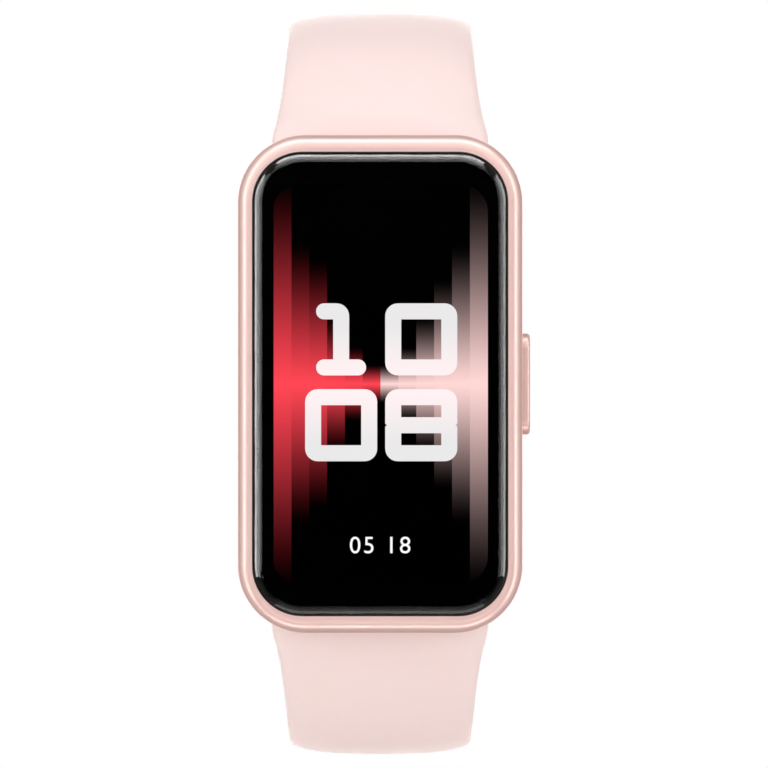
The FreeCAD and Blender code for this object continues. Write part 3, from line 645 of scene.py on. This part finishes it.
def bars_mesh(side):
    """Six upright bars on one half of the display. Their UV runs from end to end of each bar."""
    reaches = BAR_REACHES[side]
    start = BAR_OUTER_X[side]
    step = (BAR_MIDDLE_X - start) / len(reaches)
    plates = []
    for k, reach in enumerate(reaches):
        edges = sorted((start + k * step, start + (k + 1) * step))
        top = min(reach, ACTIVE_LENGTH / 2)
        plates.append(flat_shape("bar", [rectangle(*edges, -top, top)], BAR_DEPTH))
    bars = join_meshes("bars", plates)
    layer = bars.uv_layers[0]
    for face in bars.polygons:
        k = min(len(reaches) - 1, max(0, int((face.center.x / MM - start) / step)))
        for index in face.loop_indices:
            height = bars.vertices[bars.loops[index].vertex_index].co.z / MM
            layer.data[index].uv = (0.5, 0.5 + height / reaches[k] / 2)
    return bars


def print_mesh():
    """The black print round the edge of the glass, with a window for the lit area."""
    low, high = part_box("cover_glass")
    half_x = (high[0] - low[0]) / 2 / MM - PRINT_INSET
    half_z = (high[2] - low[2]) / 2 / MM - PRINT_INSET
    outer = rectangle(-half_x, half_x, -half_z, half_z, PRINT_CORNER)
    window = rectangle(-ACTIVE_WIDTH / 2 - WINDOW_ROOM, ACTIVE_WIDTH / 2 + WINDOW_ROOM,
                       -ACTIVE_LENGTH / 2, ACTIVE_LENGTH / 2, ACTIVE_CORNER)
    return flat_shape("glass_print", [outer, window], PRINT_DEPTH)


# ---- materials ----

class Finish:
    """A material built on one Principled shader, with textures laid out in millimetres."""

    def __init__(self, name, color, roughness, **sockets):
        self.material = bpy.data.materials.new(name)
        self.material.use_nodes = True
        self.nodes = self.material.node_tree.nodes
        self.links = self.material.node_tree.links
        self.shader = self.nodes["Principled BSDF"]
        self.shader.inputs["Base Color"].default_value = (*color, 1.0)
        self.shader.inputs["Roughness"].default_value = roughness
        for socket, value in sockets.items():
            self.shader.inputs[socket.replace("_", " ")].default_value = value
        self.coordinates = self.nodes.new("ShaderNodeTexCoord")
        self.normal = None

    def scaled(self, stretch):
        """The object's coordinates, stretched along each axis."""
        mapping = self.nodes.new("ShaderNodeMapping")
        mapping.inputs["Scale"].default_value = stretch
        self.links.new(self.coordinates.outputs["Object"], mapping.inputs["Vector"])
        return mapping.outputs["Vector"]

    def noise(self, size_mm, detail=3.0, stretch=(1.0, 1.0, 1.0)):
        """Soft, cloudy noise."""
        texture = self.nodes.new("ShaderNodeTexNoise")
        texture.inputs["Scale"].default_value = 1.0 / (size_mm * MM)
        texture.inputs["Detail"].default_value = detail
        self.links.new(self.scaled(stretch), texture.inputs["Vector"])
        return texture.outputs["Fac"]

    def cells(self, size_mm):
        """Small rounded cells, as from spark erosion."""
        texture = self.nodes.new("ShaderNodeTexVoronoi")
        texture.inputs["Scale"].default_value = 1.0 / (size_mm * MM)
        self.links.new(self.coordinates.outputs["Object"], texture.inputs["Vector"])
        return texture.outputs["Distance"]

    def ranged(self, value, low, high, from_low=0.3, from_high=0.7):
        """A value mapped from one range to another."""
        node = self.nodes.new("ShaderNodeMapRange")
        node.inputs["From Min"].default_value = from_low
        node.inputs["From Max"].default_value = from_high
        node.inputs["To Min"].default_value = low
        node.inputs["To Max"].default_value = high
        self.links.new(value, node.inputs["Value"])
        return node.outputs["Result"]

    def vary_roughness(self, value, low, high):
        """Let the roughness follow a value."""
        self.links.new(self.ranged(value, low, high), self.shader.inputs["Roughness"])

    def vary_color(self, value, first, second, low=0.3, high=0.7):
        """Let the colour go from the first to the second as a value goes from low to high."""
        ramp = self.nodes.new("ShaderNodeValToRGB")
        ramp.color_ramp.elements[0].position = low
        ramp.color_ramp.elements[0].color = (*first, 1.0)
        ramp.color_ramp.elements[1].position = high
        ramp.color_ramp.elements[1].color = (*second, 1.0)
        self.links.new(value, ramp.inputs["Fac"])
        self.links.new(ramp.outputs["Color"], self.shader.inputs["Base Color"])

    def bump(self, value, height_mm, strength=1.0):
        """Add relief that follows a value to the relief that is already there."""
        node = self.nodes.new("ShaderNodeBump")
        node.inputs["Strength"].default_value = strength
        node.inputs["Distance"].default_value = height_mm * MM
        self.links.new(value, node.inputs["Height"])
        if self.normal is not None:
            self.links.new(self.normal, node.inputs["Normal"])
        self.normal = node.outputs["Normal"]
        self.links.new(self.normal, self.shader.inputs["Normal"])

    def math(self, operation, first, second=None):
        """A Math node, whose inputs are numbers or other nodes' outputs."""
        node = self.nodes.new("ShaderNodeMath")
        node.operation = operation
        for socket, value in zip(node.inputs, (first, second)):
            if value is None:
                continue
            if isinstance(value, (int, float)):
                socket.default_value = value
            else:
                self.links.new(value, socket)
        return node.outputs["Value"]


def anodised(name, color, deep, roughness):
    """Fine-blasted, dyed aluminium with a soft pearl, whose grazing reflections are deeper."""
    finish = Finish(name, color, roughness, Metallic=0.60, Specular_Tint=EDGE_TINT)
    pearl = finish.noise(size_mm=6.0, detail=3.0)
    finish.vary_color(pearl, deep, color, low=0.25, high=0.6)
    handling = finish.noise(size_mm=1.6, detail=4.0)
    finish.vary_roughness(handling, roughness - 0.03, roughness + 0.04)
    blasting = finish.noise(size_mm=0.09, detail=2.0)
    finish.bump(blasting, height_mm=0.0035, strength=0.6)
    return finish.material


def silicone(name, color, shade_color):
    """Soft-touch silicone: a silky mould finish with a fine even grain."""
    finish = Finish(name, color, 0.55, Subsurface_Weight=0.12, Subsurface_Scale=0.002,
                    Sheen_Weight=0.12, Sheen_Roughness=0.5, IOR=1.42)
    finish.shader.inputs["Subsurface Radius"].default_value = (1.0, 0.55, 0.45)
    clouds = finish.noise(size_mm=9.0, detail=3.0)
    finish.vary_color(clouds, shade_color, color, low=0.3, high=0.65)
    touched = finish.noise(size_mm=0.8, detail=5.0)
    finish.vary_roughness(touched, 0.48, 0.62)
    grain = finish.noise(size_mm=0.22, detail=3.0)
    finish.bump(grain, height_mm=0.007, strength=0.4)
    waves = finish.noise(size_mm=3.5, detail=2.0)
    finish.bump(waves, height_mm=0.020, strength=0.15)
    return finish.material


def steel(name, color, roughness, stretch):
    """Turned or drawn steel, with fine lines along its direction of work."""
    finish = Finish(name, color, roughness, Metallic=1.0)
    lines = finish.noise(size_mm=0.12, detail=3.0, stretch=stretch)
    finish.vary_roughness(lines, roughness - 0.07, roughness + 0.08)
    finish.bump(lines, height_mm=0.003, strength=0.5)
    return finish.material


def moulded(name, color, roughness, grain_mm=0.3, **sockets):
    """Moulded plastic or rubber with a spark-eroded grain."""
    finish = Finish(name, color, roughness, **sockets)
    lighter = tuple(min(1.0, channel * 1.05) for channel in color)
    finish.vary_color(finish.noise(size_mm=4.0, detail=3.0), color, lighter)
    handling = finish.noise(size_mm=0.9, detail=4.0)
    finish.vary_roughness(handling, roughness - 0.05, roughness + 0.06)
    finish.bump(finish.cells(grain_mm), height_mm=0.004, strength=0.25)
    return finish.material


def clear_glass(name, tint, roughness):
    """Polished glass, with the slightest unevenness from handling."""
    finish = Finish(name, tint, roughness, Transmission_Weight=1.0, IOR=1.36)
    handling = finish.noise(size_mm=7.0, detail=3.0)
    finish.vary_roughness(handling, roughness, roughness + 0.012)
    return finish.material


def circuit_board(name, color):
    """Solder mask over etched tracks."""
    finish = Finish(name, color, 0.35)
    tracks = finish.noise(size_mm=0.6, detail=0.0, stretch=(1.0, 1.0, 8.0))
    copper = tuple(channel * 1.9 + 0.01 for channel in color)
    finish.vary_color(tracks, color, copper, low=0.48, high=0.52)
    finish.bump(tracks, height_mm=0.02, strength=0.4)
    return finish.material


def glowing(name, color, strength):
    """A lit part of the display. Its shader gives off light and hardly reflects."""
    finish = Finish(name, (0.0, 0.0, 0.0), 0.6)
    finish.shader.inputs["Specular IOR Level"].default_value = 0.0
    finish.shader.inputs["Emission Color"].default_value = (*color, 1.0)
    finish.shader.inputs["Emission Strength"].default_value = strength
    return finish


def bar_glow(name, color, strength, fall):
    """Light that is brightest at the middle of each bar and fades to nothing at both ends."""
    finish = glowing(name, color, strength)
    parts = finish.nodes.new("ShaderNodeSeparateXYZ")
    finish.links.new(finish.coordinates.outputs["UV"], parts.inputs["Vector"])
    offset = finish.math("SUBTRACT", parts.outputs["Y"], 0.5)
    away = finish.math("MULTIPLY", finish.math("ABSOLUTE", offset), 2.0)
    left_over = finish.math("SUBTRACT", 1.0, finish.math("POWER", away, 1.15))
    fade = finish.math("MAXIMUM", 0.0, left_over)
    glow = finish.math("MULTIPLY", finish.math("POWER", fade, fall), strength)
    finish.links.new(glow, finish.shader.inputs["Emission Strength"])
    return finish.material


def digit_glow(name, near, far, strength):
    """Numerals that take a little of the bars' colour near the middle of the display."""
    finish = glowing(name, far, strength)
    parts = finish.nodes.new("ShaderNodeSeparateXYZ")
    finish.links.new(finish.coordinates.outputs["Object"], parts.inputs["Vector"])
    away = finish.math("ABSOLUTE", parts.outputs["Z"])
    ramp = finish.nodes.new("ShaderNodeValToRGB")
    ramp.color_ramp.elements[0].color = (*near, 1.0)
    ramp.color_ramp.elements[1].color = (*far, 1.0)
    finish.links.new(finish.ranged(away, 0.0, 1.0, 0.5 * MM, 5.0 * MM), ramp.inputs["Fac"])
    finish.links.new(ramp.outputs["Color"], finish.shader.inputs["Emission Color"])
    return finish.material


EDGE_TINT = (0.68, 0.45, 0.41, 1.0)
ROSE = (0.92, 0.65, 0.60)
ROSE_DEEP = (0.905, 0.63, 0.58)
SILICONE = (0.89, 0.715, 0.69)
SILICONE_SHADE = (0.875, 0.70, 0.675)

case_metal = anodised("rose_anodised_case", ROSE, ROSE_DEEP, 0.37)
buckle_metal = anodised("rose_anodised_buckle", ROSE, ROSE_DEEP, 0.34)
strap_silicone = silicone("blush_silicone", SILICONE, SILICONE_SHADE)
glass = clear_glass("cover_glass_clear", (0.97, 0.97, 0.98), 0.055)
smoked = clear_glass("smoked_window", (0.34, 0.33, 0.34), 0.02)
display_black = moulded("display_black", (0.0001, 0.0001, 0.0001), 0.5, 0.6,
                        Specular_IOR_Level=0.0)
print_black = moulded("black_print", (0.0001, 0.0001, 0.0001), 0.6, 0.5,
                      Specular_IOR_Level=0.0)
seal_black = moulded("black_seal", (0.012, 0.011, 0.011), 0.62, 0.25)
back_plastic = moulded("blush_back_plastic", (0.62, 0.45, 0.42), 0.30, 0.35, Coat_Weight=0.35,
                       Coat_Roughness=0.12)
chip_black = moulded("chip_resin", (0.02, 0.02, 0.022), 0.5, 0.2)
battery_foil = moulded("battery_foil", (0.45, 0.46, 0.48), 0.32, 1.2, Metallic=0.7)
adhesive = moulded("optical_adhesive", (0.01, 0.01, 0.01), 0.2, 0.8)
led_resin = moulded("green_led_resin", (0.10, 0.62, 0.20), 0.15, 0.5)
gold = steel("gold_plating", (0.95, 0.66, 0.30), 0.24, (1.0, 1.0, 1.0))
drawn_steel = steel("drawn_steel", (0.62, 0.61, 0.60), 0.28, (0.06, 1.0, 1.0))
magnet_plate = steel("nickel_plating", (0.66, 0.65, 0.63), 0.18, (1.0, 1.0, 1.0))
board_green = circuit_board("solder_mask", (0.012, 0.085, 0.05))
red_glow = bar_glow("bar_glow_red", (1.0, 0.062, 0.088), 1.06, 2.3)
pale_glow = bar_glow("bar_glow_pale", (1.0, 0.68, 0.66), 1.06, 2.5)
white_glow = digit_glow("digit_glow", (1.0, 0.86, 0.87), (0.80, 0.79, 0.79), 1.08)
date_glow = glowing("date_glow", (1.0, 1.0, 1.0), 1.05).material

CAD_FINISHES = {
    case_metal: ["case_frame", "side_button"],
    buckle_metal: ["buckle_frame", "buckle_tang"],
    glass: ["cover_glass"],
    smoked: ["sensor_window"],
    display_black: ["display_panel"],
    seal_black: ["glass_gasket", "back_cover_gasket", "button_seals", "charging_pin_seals",
                 "light_baffle", "display_foam_pad"],
    back_plastic: ["back_cover"],
    chip_black: ["board_chips", "photodiodes", "button_switch"],
    battery_foil: ["battery"],
    adhesive: ["display_adhesive", "battery_adhesive"],
    led_resin: ["green_leds"],
    gold: ["charging_pins"],
    drawn_steel: ["inner_bracket", "board_screws", "shield_can", "button_clips",
                  "upper_end_sleeve", "upper_bar_tube", "upper_bar_spring", "upper_release_pin",
                  "tail_end_sleeve", "tail_bar_tube", "tail_bar_spring", "tail_release_pin",
                  "buckle_bar", "vibration_motor"],
    magnet_plate: ["charging_magnets"],
    board_green: ["main_board", "sensor_board", "display_flex"],
}
for finish_material, node_names in CAD_FINISHES.items():
    for node_name in node_names:
        for material_slot in frame["nodes"][node_name].material_slots:
            material_slot.material = finish_material

# ---- the pieces made here ----

add_piece("upper_strap_skin", upper_strap_mesh(), strap_silicone, "upper_band",
          ["upper_strap"])
add_piece("tail_strap_skin", tail_strap_mesh(), strap_silicone, "tail_band",
          ["tail_strap"])
add_piece("keeper_loop", keeper_mesh(), strap_silicone, "keeper", ["strap_keeper"])
add_piece("glass_print", print_mesh(), print_black, "case")
add_piece("display_bars_left", bars_mesh("left"), red_glow, "case")
add_piece("display_bars_right", bars_mesh("right"), pale_glow, "case")
add_piece("time_digits", digits_mesh(), white_glow, "case")
add_piece("date_digits", date_mesh(), date_glow, "case")

# ---- studio ----

case_low, case_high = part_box("case_frame")
case_middle = (Vector(case_low) + Vector(case_high)) / 2
front_y = case_low[1]


def area_light(name, place, width, height, power):
    """A soft panel that faces the middle of the case from a place measured from there."""
    data = bpy.data.lights.new(name, "AREA")
    data.shape = "RECTANGLE"
    data.size = width
    data.size_y = height
    data.energy = power
    light = bpy.data.objects.new(name, data)
    light.location = case_middle + Vector(place)
    light.rotation_euler = (-Vector(place)).to_track_quat("-Z", "Y").to_euler()
    light.visible_camera = False
    bpy.context.scene.collection.objects.link(light)
    return light


def glass_glints():
    """Long soft panels that light only the cover glass, for the glow on its curved edge."""
    only_glass = bpy.data.collections.new("glass_only")
    only_glass.objects.link(frame["nodes"]["cover_glass"])
    for name, (across, up, levels) in GLINTS.items():
        for (degrees, spread), radiance in zip(GLINT_ANGLES, levels):
            turn = math.radians(degrees)
            aside, ahead = GLINT_DISTANCE * math.sin(turn), -GLINT_DISTANCE * math.cos(turn)
            width = 2 * GLINT_DISTANCE * math.tan(math.radians(spread / 2))
            high = aside * math.tan(math.radians(GLINT_CORNER_TURN))
            low = aside * math.tan(math.radians(GLINT_LOWER_TURN)) if across else high
            size = (width, high + low) if across else (high + low, width)
            height = up * aside + (high - low) / 2
            power = radiance * math.pi * width * (high + low)
            light = area_light("glint_" + name, (across * aside, ahead, height), *size, power)
            light.light_linking.receiver_collection = only_glass


def softboxes():
    """The lights of the studio. The cover glass gets its own panels instead."""
    all_but_glass = bpy.data.collections.new("all_but_glass")
    all_but_glass.objects.link(frame["nodes"]["cover_glass"])
    all_but_glass.collection_objects[0].light_linking.link_state = "EXCLUDE"
    for name, place, width, height, power, color in SOFTBOXES:
        light = area_light(name, place, width, height, power)
        light.data.color = color
        light.light_linking.receiver_collection = all_but_glass


def make_world():
    """White to the camera. To surfaces it is dark in front, soft at the sides, bright behind."""
    world = bpy.data.worlds.new("studio")
    bpy.context.scene.world = world
    world.use_nodes = True
    nodes = world.node_tree.nodes
    links = world.node_tree.links
    nodes.clear()
    direction = nodes.new("ShaderNodeTexCoord")
    parts = nodes.new("ShaderNodeSeparateXYZ")
    ramp = nodes.new("ShaderNodeValToRGB")
    spread = nodes.new("ShaderNodeMapRange")
    spread.inputs["From Min"].default_value = -1.0
    spread.inputs["From Max"].default_value = 1.0
    stops = ramp.color_ramp.elements
    stops.remove(stops[1])
    stops[0].position = WORLD_LEVELS[0][0]
    for position, _ in WORLD_LEVELS[1:]:
        stops.new(position)
    for stop, (_, level) in zip(stops, WORLD_LEVELS):
        stop.color = (level, level, level, 1.0)
    studio = nodes.new("ShaderNodeBackground")
    backdrop = nodes.new("ShaderNodeBackground")
    backdrop.inputs["Color"].default_value = (1.0, 1.0, 1.0, 1.0)
    backdrop.inputs["Strength"].default_value = 1.0
    path = nodes.new("ShaderNodeLightPath")
    mix = nodes.new("ShaderNodeMixShader")
    output = nodes.new("ShaderNodeOutputWorld")
    links.new(direction.outputs["Generated"], parts.inputs["Vector"])
    links.new(parts.outputs["Y"], spread.inputs["Value"])
    links.new(spread.outputs["Result"], ramp.inputs["Fac"])
    links.new(ramp.outputs["Color"], studio.inputs["Color"])
    links.new(path.outputs["Is Camera Ray"], mix.inputs["Fac"])
    links.new(studio.outputs["Background"], mix.inputs[1])
    links.new(backdrop.outputs["Background"], mix.inputs[2])
    links.new(mix.outputs["Shader"], output.inputs["Surface"])


def make_floor():
    """A pale round table top below the strap, with a light of its own.

    It fades out towards its edge, is clear from below, and doesn't show in reflections.
    """
    bottom = cad_low.z - FLOOR_DROP * MM
    radius = FLOOR_RADIUS * MM
    form = bmesh.new()
    bmesh.ops.create_circle(form, cap_ends=True, radius=radius, segments=96)
    mesh = bpy.data.meshes.new("table_top")
    form.to_mesh(mesh)
    form.free()
    floor = bpy.data.objects.new("table_top", mesh)
    floor.location = (0.0, (cad_low.y + cad_high.y) / 2, bottom)
    bpy.context.scene.collection.objects.link(floor)
    finish = Finish("pale_table", (0.90, 0.89, 0.88), 0.7)
    distance = finish.nodes.new("ShaderNodeVectorMath")
    distance.operation = "LENGTH"
    finish.links.new(finish.coordinates.outputs["Object"], distance.inputs[0])
    fade_from, fade_to = (share * radius for share in FLOOR_FADE)
    clear = finish.ranged(distance.outputs["Value"], 0.0, 1.0, fade_from, fade_to)
    underside = finish.nodes.new("ShaderNodeNewGeometry").outputs["Backfacing"]
    clear = finish.math("MAXIMUM", clear, underside)
    see_through = finish.nodes.new("ShaderNodeBsdfTransparent")
    mix = finish.nodes.new("ShaderNodeMixShader")
    finish.links.new(clear, mix.inputs["Fac"])
    finish.links.new(finish.shader.outputs["BSDF"], mix.inputs[1])
    finish.links.new(see_through.outputs["BSDF"], mix.inputs[2])
    finish.links.new(mix.outputs["Shader"], finish.nodes["Material Output"].inputs["Surface"])
    mesh.materials.append(finish.material)
    floor.visible_glossy = False
    only_floor = bpy.data.collections.new("only_floor")
    only_floor.objects.link(floor)
    overhead = area_light("overhead", *OVERHEAD)
    overhead.light_linking.receiver_collection = only_floor


def make_camera():
    """A long lens straight in front of the display, at the height of the case's middle."""
    data = bpy.data.cameras.new("camera")
    data.sensor_width = SENSOR_WIDTH
    data.lens = SENSOR_WIDTH * CAMERA_DISTANCE / (PICTURE_WIDTH * MM)
    data.clip_end = 10.0
    camera = bpy.data.objects.new("camera", data)
    across = (cad_low.x + cad_high.x) / 2
    camera.location = (across, front_y - CAMERA_DISTANCE, case_middle.z)
    camera.rotation_euler = (math.radians(90), 0.0, 0.0)
    bpy.context.scene.collection.objects.link(camera)
    bpy.context.scene.camera = camera


softboxes()
glass_glints()
make_world()
make_floor()
make_camera()
bpy.context.scene.view_settings.view_transform = "Standard"
